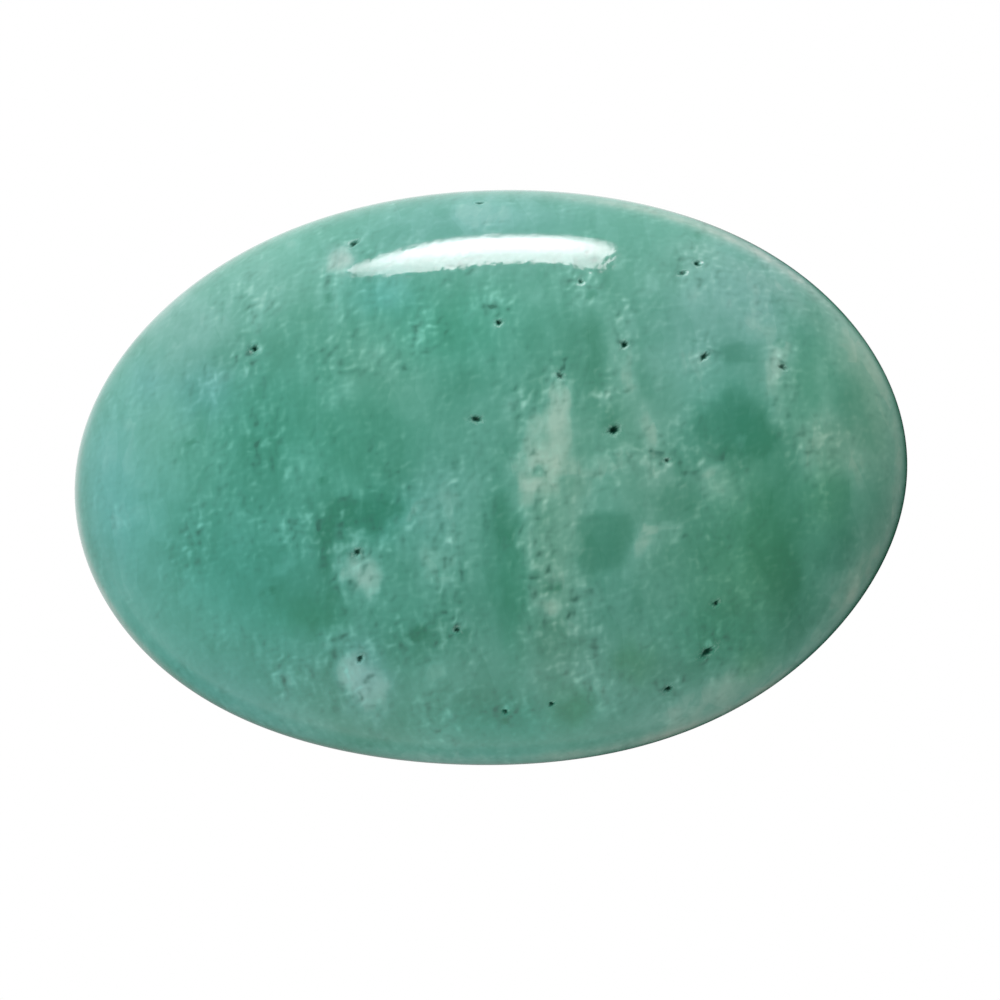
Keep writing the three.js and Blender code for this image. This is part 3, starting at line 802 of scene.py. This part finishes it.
# The nodes of one material or world.
class Net:
    def __init__(self, owner):
        owner.use_nodes = True
        self.tree = owner.node_tree
        self.tree.nodes.clear()

    # Adds a node: its settings first, then a value or a wire for each socket, by name or place.
    def node(self, kind, settings=None, inputs=None, output=0):
        node = self.tree.nodes.new(kind)
        for name, value in (settings or {}).items():
            if name == "stops":
                self.fillRamp(node.color_ramp, value)
            else:
                setattr(node, name, value)
        for name, value in (inputs or {}).items():
            if isinstance(value, Wire):
                self.tree.links.new(value.socket, node.inputs[name])
            else:
                node.inputs[name].default_value = value
        return Wire(self, node.outputs[output]) if len(node.outputs) else None

    def fillRamp(self, ramp, stops):
        while len(ramp.elements) < len(stops):
            ramp.elements.new(1)
        for element, (position, colour) in zip(ramp.elements, stops):
            element.position = position
            element.color = (*colour, 1)

    def attribute(self, name):
        return self.node("ShaderNodeAttribute", {"attribute_name": name}, output="Fac")

    # A point scaled along each axis, to stretch the pattern that reads it.
    def stretch(self, vector, scale, lean=0):
        inputs = {"Vector": vector, "Rotation": (0, 0, math.radians(lean)), "Scale": scale}
        return self.node("ShaderNodeMapping", {"vector_type": "POINT"}, inputs)

    # Cloudy noise from about 0 to 1, with so many patches in each millimetre.
    def noise(self, vector, scale, detail=2.0, roughness=0.5, curl=0.0):
        inputs = {"Vector": vector, "Scale": scale, "Detail": detail}
        inputs.update({"Roughness": roughness, "Distortion": curl})
        return self.node("ShaderNodeTexNoise", None, inputs)

    # The same noise in relief: less itself a little further on, so that each grain has a pale side
    # and a dark one,
    # as if lit from one side: in the colour, a painted highlight and painted shade.
    def relief(self, vector, scale, shift, curl=0.0):
        further = self.node("ShaderNodeVectorMath", {"operation": "ADD"}, {0: vector, 1: shift})
        near = self.noise(vector, scale, detail=0, curl=curl)
        return near - self.noise(further, scale, detail=0, curl=curl)

    # Blocks of random lightness, from -0.5 to 0.5, with so many in each millimetre.
    def blocks(self, vector, scale, softness=0.08):
        settings = {"feature": "SMOOTH_F1"}
        inputs = {"Vector": vector, "Scale": scale, "Smoothness": softness}
        shade = self.node("ShaderNodeTexVoronoi", settings, inputs, output="Color")
        return self.node("ShaderNodeSeparateColor", None, {"Color": shade}, output="Red") - 0.5

    # How far a direction points along another: their dot product.
    def along(self, vector, towards):
        settings = {"operation": "DOT_PRODUCT"}
        return self.node("ShaderNodeVectorMath", settings, {0: vector, 1: towards}, output="Value")

    def mixColour(self, factor, first, second, blend="MIX"):
        settings = {"data_type": "RGBA", "blend_type": blend}
        return self.node("ShaderNodeMix", settings, {0: factor, 6: first, 7: second}, output=2)


# The finish of the stone. Colours are linear red, green and blue.
amazonite = {
    "clear": (0.024, 0.190, 0.118),
    "teal": (0.062, 0.275, 0.198),
    "light": (0.098, 0.335, 0.258),
    "milky": (0.245, 0.475, 0.390),
    "stops": (0.0, 0.38, 0.62, 1.0),
    "base": 0.45,                # where a stretch with no cloud lies between clear and milky
    "milkGain": 0.42,
    "greyRange": (0.60, 1.45),   # how much red there is, from the least grey to the greyest
    "blueRange": (0.80, 1.18),
    # How fast each grain changes along each axis, and its lean in degrees
    "uprightGrain": ((1.0, 0.5, 0.6), -4),
    "leaningGrain": ((1.0, 0.5, 0.6), -32),
    "slabGrain": ((1.0, 0.35, 0.6), -3),
    # Unevenness of the clouds: patches in each millimetre, and how strong they are beside a cloud
    # or, for the fine blocks, beside the larger ones
    "rag": (1.0, 0.1),
    "slabBlocks": 0.6,
    "fineBlocks": (1.2, 0.7),
    "blockGain": 0.1,
    # Reliefs: grains in each millimetre, and how far on a relief looks to find a grain's sides,
    # which sets where each grain's painted highlight and painted shade fall
    "strokes": (1.2, (0.2, 0.05, 0.1)),
    "crumbs": (1.1, (0.15, -0.16, 0.1)),
    "grains": (2.0, (0.09, -0.09, 0.06)),
    "crumbCurl": 0.6,
    "crumbWeight": 1.2,
    "grainWeight": (0.34, 0.5),  # everywhere, and as much more where it is crumbly
    "textureGain": 1.9,
    "sparseness": 1.4,           # 1 is an even texture, and more leaves mostly its strongest grains
    # grain flecks: a painted highlight on one side of each grain and painted shade on the other
    "paintedGlint": (0.254, 0.584, 0.479),
    "paintedGlintShare": (0.3, 0.7),    # in clear stone, and as much more in milky
    "paintedShadow": (0.024, 0.144, 0.100),
    "paintedShadowShare": (1.25, 0.6),  # in clear stone, and as much less in milky
    # Pits, darkened inside with painted shade, and the crumbs of their worn rims,
    # partly a painted glint
    "pit": (0.002, 0.065, 0.038),
    "pitWeight": 0.9,
    "pitMetal": 0.95,            # dark and metallic, so that a pit mirrors little of the studio
    # pale crushed stone round the pits, partly a painted glint of their worn rims
    "crumbAndGlint": (0.34, 0.54, 0.46),
    "haloNoise": 4.5,
    "haloEdge": (0.5, 0.62),
    "haloWeight": 0.35,
    # The polish
    "roughness": 0.06,
    "wornRoughness": 0.6,
    "pitRoughness": 0.3,
    "crumblyRelief": 0.6,
    "waves": (1.3, 0.4),         # slow waves in each millimetre, and their share of the relief
    "relief": 0.013,             # in millimetres
    "ior": 1.53,
}


# The grains' painted light and shade: how strongly they are painted, from the painted shade on
# one side to the painted highlight on the other, and the part of them that stands in relief.
def stoneTexture(net, place, upright, crumbly):
    leaning = net.stretch(place, *amazonite["leaningGrain"])
    strokes = net.relief(upright, *amazonite["strokes"])
    slants = net.relief(leaning, *amazonite["strokes"])
    crumbs = net.relief(place, *amazonite["crumbs"], curl=amazonite["crumbCurl"])
    grains = net.relief(place, *amazonite["grains"])
    everywhere, more = amazonite["grainWeight"]
    texture = (strokes + slants + crumbs * amazonite["crumbWeight"]) * crumbly
    return texture + grains * (crumbly * more + everywhere), (crumbs + grains) * crumbly


# How milky the stone is from 0 to 1: its clouds, ragged and broken into blocks.
def stoneCloudiness(net, place, upright):
    ragScale, ragWeight = amazonite["rag"]
    rag = net.noise(upright, ragScale, detail=3, roughness=0.55) - 0.5
    fineScale, fineWeight = amazonite["fineBlocks"]
    slabs = net.blocks(net.stretch(place, *amazonite["slabGrain"]), amazonite["slabBlocks"])
    blocks = slabs + net.blocks(upright, fineScale) * fineWeight
    cloudiness = net.attribute("milk") * amazonite["milkGain"] + rag * ragWeight
    return cloudiness + blocks * amazonite["blockGain"] + amazonite["base"]


# The stone's colour: a ramp from clear to milky, with a painted highlight and painted shade on the
# sides of its grains, then more or less red and blue.
def stoneColour(net, cloudiness, texture):
    names = ("clear", "teal", "light", "milky")
    stops = [(stop, amazonite[name]) for stop, name in zip(amazonite["stops"], names)]
    colour = net.node("ShaderNodeValToRGB", {"stops": stops}, {"Fac": cloudiness})
    gain, sparseness = amazonite["textureGain"], amazonite["sparseness"]
    inClear, more = amazonite["paintedGlintShare"]
    # painted highlight on the grains' lit sides
    paintedGlint = (texture * gain).math("MAXIMUM", 0).math("POWER", sparseness)
    paintedGlint = paintedGlint * (cloudiness * more + inClear)
    colour = net.mixColour(paintedGlint, colour, (*amazonite["paintedGlint"], 1))
    inClear, less = amazonite["paintedShadowShare"]
    # painted shade on their other sides
    paintedShadow = (texture * -gain).math("MAXIMUM", 0).math("POWER", sparseness)
    paintedShadow = paintedShadow * (inClear - cloudiness * less)
    colour = net.mixColour(paintedShadow, colour, (*amazonite["paintedShadow"], 1))
    lowGrey, highGrey = amazonite["greyRange"]
    lowBlue, highBlue = amazonite["blueRange"]
    red = net.attribute("grey") * (highGrey - lowGrey) + lowGrey
    blue = net.attribute("blue") * (highBlue - lowBlue) + lowBlue
    cast = net.node("ShaderNodeCombineColor", None, {"Red": red, "Green": 1.0, "Blue": blue})
    return net.mixColour(1.0, colour, cast, "MULTIPLY")


def amazoniteMaterial():
    material = bpy.data.materials.new("amazonite")
    net = Net(material)
    metres = net.node("ShaderNodeTexCoord", output="Object")
    scaling = {0: metres, "Scale": 1 / millimetre}
    place = net.node("ShaderNodeVectorMath", {"operation": "SCALE"}, scaling)
    upright = net.stretch(place, *amazonite["uprightGrain"])
    crumbly = net.attribute("crumbly")
    texture, raised = stoneTexture(net, place, upright, crumbly)
    cloudiness = stoneCloudiness(net, place, upright)
    colour = stoneColour(net, cloudiness, texture)

    worn = net.attribute("worn")
    bowl = net.attribute("bowl")
    # pale crumbs round the pits, partly a painted glint of the worn rims
    haloAndGlint = net.noise(place, amazonite["haloNoise"], detail=2, roughness=0.7)
    haloAndGlint = haloAndGlint.step(*amazonite["haloEdge"]) * worn * amazonite["haloWeight"]
    colour = net.mixColour(haloAndGlint, colour, (*amazonite["crumbAndGlint"], 1))
    # painted shade: the pits darkened to near black
    colour = net.mixColour(bowl * amazonite["pitWeight"], colour, (*amazonite["pit"], 1))

    roughness = worn * amazonite["wornRoughness"] + bowl * amazonite["pitRoughness"]
    waveScale, waveWeight = amazonite["waves"]
    waves = net.noise(place, waveScale, detail=3) * waveWeight
    relief = {
        "Strength": 1.0,
        "Distance": amazonite["relief"] * millimetre,
        "Height": raised * amazonite["crumblyRelief"] + waves,
    }
    surface = {
        "Base Color": colour,
        "Roughness": roughness + amazonite["roughness"],
        # dark metal in the pits mirrors little, which adds to their painted shade
        "Metallic": bowl * amazonite["pitMetal"],
        "IOR": amazonite["ior"],
        "Normal": net.node("ShaderNodeBump", None, relief),
    }
    shader = net.node("ShaderNodeBsdfPrincipled", None, surface)
    net.node("ShaderNodeOutputMaterial", None, {"Surface": shader})
    return material


skin = palmStone()
skin.data.materials.append(amazoniteMaterial())
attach(skin, "root")
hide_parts("palm_stone")
print("stone finished")

# The studio: a white table, pale surroundings and one softbox beyond the top of the picture.
# Angles are in degrees, the softbox's as seen from the stone.
studio = {
    "floorHalf": 1.5,
    "floorDrop": 0.02,           # how far under the stone the table lies, in millimetres
    # near the stone, the table's mirrored glow is painted light and shade
    "nearDim": 0.30,             # how bright the table is close to the stone, in front of it
    "nearLit": 1.05,             # and behind it and to its left, where the light comes from
    "litTowards": (-0.35, 0.94, 0),
    "litRange": (-0.35, 0.35),
    "nearReach": (1.3, 5.0),     # in half sizes of the stone, where the table stops being near
    # where the stone's painted shadow lies on the table
    "shadeTowards": (0.96, -0.28, 0),
    "shadeRange": (0.2, 0.7),
    "shadeReach": (1.6, 1.15),   # in half sizes too, where the stone's own shade ends and is full
    "horizon": 1.2,              # brightness of the surroundings
    "zenith": 0.55,
    "zenithRange": (0.5, 1.0),
    "darkShare": 0.2,            # what is left of that brightness to the right
    "openTowards": (-0.98, 0.15, 0),
    "openRange": (-1.0, -0.15),
    "boxDistance": 0.45,
    "boxSteps": (80, 24),        # quads along and across it
    "boxElevation": (27.5, -1.2, -1.2),  # of its middle line: a curve from end to end
    # Places along the softbox run from -1, its left end, to 1, and across it from -1, its foot
    "boxLift": (3.0, 2.0),       # how much the left and right ends are raised
    "leftLift": (0.1, -0.65),    # where each lift starts and is full
    "rightLift": (0.5, 1),
    "boxTall": 18.2,
    "boxSwell": (0.5, 0.9),      # where it grows taller towards the right end
    "boxSwellShare": 0.12,
    "boxWide": 34.6,
    "boxEnds": (1.9, 30.0),      # 2 is a round end, and more is a squarer one
    "boxStrength": 23,
    "boxColour": (1.06, 0.95, 1.0),
    "footGlow": (-1.1, -0.3),    # where its light starts and is full, going up
    "topDim": (-0.3, 0.8),       # where it starts and stops dimming, going up
    "topDimShare": 0.45,
    "leftGlow": (1.15, 0.8),     # its light at the middle, and how fast it grows, up to 1
    "rightDim": (0.5, 1),        # where it starts and stops dimming to the right
    "rightDimShare": 0.4,
}

# The camera looks straight down. Its shift puts the stone where the photograph has it.
camera = {
    "lens": 135,
    "sensor": 36,
    "height": 0.3026,
    "rollDegrees": 3.18,
    "shift": (0.00882, -0.02173),
    "clipStart": 0.01,
}


# How bright the surroundings are towards a place on the horizon: darker to the right.
def horizonGlow(net, direction):
    openness = net.along(direction, studio["openTowards"]).step(*studio["openRange"])
    return (openness * (1 - studio["darkShare"]) + studio["darkShare"]) * studio["horizon"]


# The table is white where the camera sees it. What the polish mirrors of it glows with painted
# light, as bright as the horizon far off. Nearer the stone it is bright behind it and to its left,
# dim in front, and dark close to its right end with the stone's painted shadow.
def tableTop():
    half = studio["floorHalf"]
    level = -studio["floorDrop"] * millimetre
    mesh = bpy.data.meshes.new("tableTop")
    plan = [(-half, -half), (half, -half), (half, half), (-half, half)]
    mesh.from_pydata([(*corner, level) for corner in plan], [], [(0, 1, 2, 3)])
    material = bpy.data.materials.new("tableWhite")
    net = Net(material)
    place = net.node("ShaderNodeTexCoord", output="Object")
    outward = net.node("ShaderNodeVectorMath", {"operation": "NORMALIZE"}, {0: place})
    sizes = (1 / (halfLength * millimetre), 1 / (halfWidth * millimetre), 1)
    reach = net.node("ShaderNodeVectorMath", {"operation": "MULTIPLY"}, {0: place, 1: sizes})
    reach = net.node("ShaderNodeVectorMath", {"operation": "LENGTH"}, {0: reach}, output="Value")
    lit = net.along(outward, studio["litTowards"]).step(*studio["litRange"])
    near = lit * (studio["nearLit"] - studio["nearDim"]) + studio["nearDim"]
    # the stone's painted shadow beside its right end
    shade = net.along(outward, studio["shadeTowards"]).step(*studio["shadeRange"])
    shade = shade * reach.step(*studio["shadeReach"])
    far = reach.step(*studio["nearReach"])
    glow = (near + (horizonGlow(net, outward) - near) * far) * (1 - shade)
    seen = net.node("ShaderNodeLightPath", output="Is Camera Ray")
    strength = seen + (1 - seen) * glow
    shader = net.node("ShaderNodeEmission", None, {"Color": (1, 1, 1, 1), "Strength": strength})
    net.node("ShaderNodeOutputMaterial", None, {"Surface": shader})
    mesh.materials.append(material)
    floor = bpy.data.objects.new("tableTop", mesh)
    bpy.context.scene.collection.objects.link(floor)


# The softbox's panel is a patch of a sphere round the stone, drawn by direction. Its middle
# line's elevation is a curve along it, raised at both ends, and its height there is a
# superellipse's, which is rounder at the left end. It is brightest a little below its middle
# and dims to all its edges.
def softbox():
    alongSteps, acrossSteps = studio["boxSteps"]
    along, across = np.linspace(-1, 1, alongSteps + 1), np.linspace(-1, 1, acrossSteps + 1)
    u, v = np.meshgrid(along, across, indexing="ij")
    leftEnd, rightEnd = studio["boxEnds"]
    taper = np.sqrt(np.clip(1 - np.abs(u) ** np.where(u < 0, leftEnd, rightEnd), 0, 1))
    level, slope, bend = studio["boxElevation"]
    azimuth = np.radians(studio["boxWide"] / 2 * u)
    leftLift, rightLift = studio["boxLift"]
    lift = leftLift * smoothStep(*studio["leftLift"], u)
    lift += rightLift * smoothStep(*studio["rightLift"], u)
    middle = level + slope * u + bend * u**2 + lift
    swell = 1 + studio["boxSwellShare"] * smoothStep(*studio["boxSwell"], u)
    elevation = np.radians(middle + studio["boxTall"] * taper * swell / 2 * v)
    outward = np.cos(elevation)
    towards = (outward * np.sin(azimuth), outward * np.cos(azimuth), np.sin(elevation))
    points = studio["boxDistance"] * np.stack(towards, -1)
    index = np.arange(u.size).reshape(u.shape)
    corners = [index[:-1, :-1], index[1:, :-1], index[1:, 1:], index[:-1, 1:]]
    quads = np.stack([corner.ravel() for corner in corners], -1)
    mesh = bpy.data.meshes.new("softbox")
    mesh.from_pydata(points.reshape(-1, 3).tolist(), [], quads.tolist())
    glow = smoothStep(*studio["footGlow"], v)
    glow *= 1 - studio["topDimShare"] * smoothStep(*studio["topDim"], v)
    atMiddle, growth = studio["leftGlow"]
    glow *= np.clip(atMiddle + growth * u, 0, 1)
    glow *= 1 - studio["rightDimShare"] * smoothStep(*studio["rightDim"], u)
    fade = mesh.attributes.new("fade", "FLOAT", "POINT")
    fade.data.foreach_set("value", glow.ravel().astype(np.float32))
    material = bpy.data.materials.new("softboxCloth")
    net = Net(material)
    strength = net.attribute("fade") * studio["boxStrength"]
    light = {"Color": (*studio["boxColour"], 1), "Strength": strength}
    shader = net.node("ShaderNodeEmission", None, light)
    net.node("ShaderNodeOutputMaterial", None, {"Surface": shader})
    mesh.materials.append(material)
    panel = bpy.data.objects.new("softbox", mesh)
    panel.visible_camera = False
    bpy.context.scene.collection.objects.link(panel)


# The surroundings are pale to the left, behind and in front, dimmer overhead and dark to the
# right. To the camera they are plain white.
def surroundings():
    world = bpy.data.worlds.new("studio")
    bpy.context.scene.world = world
    net = Net(world)
    direction = net.node("ShaderNodeTexCoord", output="Generated")
    overhead = net.along(direction, (0, 0, 1)).step(*studio["zenithRange"])
    glow = horizonGlow(net, direction) * (1 - overhead * (1 - studio["zenith"] / studio["horizon"]))
    seen = net.node("ShaderNodeLightPath", output="Is Camera Ray")
    strength = seen + (1 - seen) * glow
    shader = net.node("ShaderNodeBackground", None, {"Color": (1, 1, 1, 1), "Strength": strength})
    net.node("ShaderNodeOutputWorld", None, {"Surface": shader})


def downwardCamera():
    data = bpy.data.cameras.new("camera")
    data.lens = camera["lens"]
    data.sensor_width = camera["sensor"]
    data.shift_x, data.shift_y = camera["shift"]
    data.clip_start = camera["clipStart"]
    eye = bpy.data.objects.new("camera", data)
    eye.location = (0, 0, camera["height"])
    eye.rotation_euler = (0, 0, -math.radians(camera["rollDegrees"]))
    bpy.context.scene.collection.objects.link(eye)
    bpy.context.scene.camera = eye


tableTop()
softbox()
surroundings()
downwardCamera()
bpy.context.scene.view_settings.view_transform = "Standard"
print("studio ready")
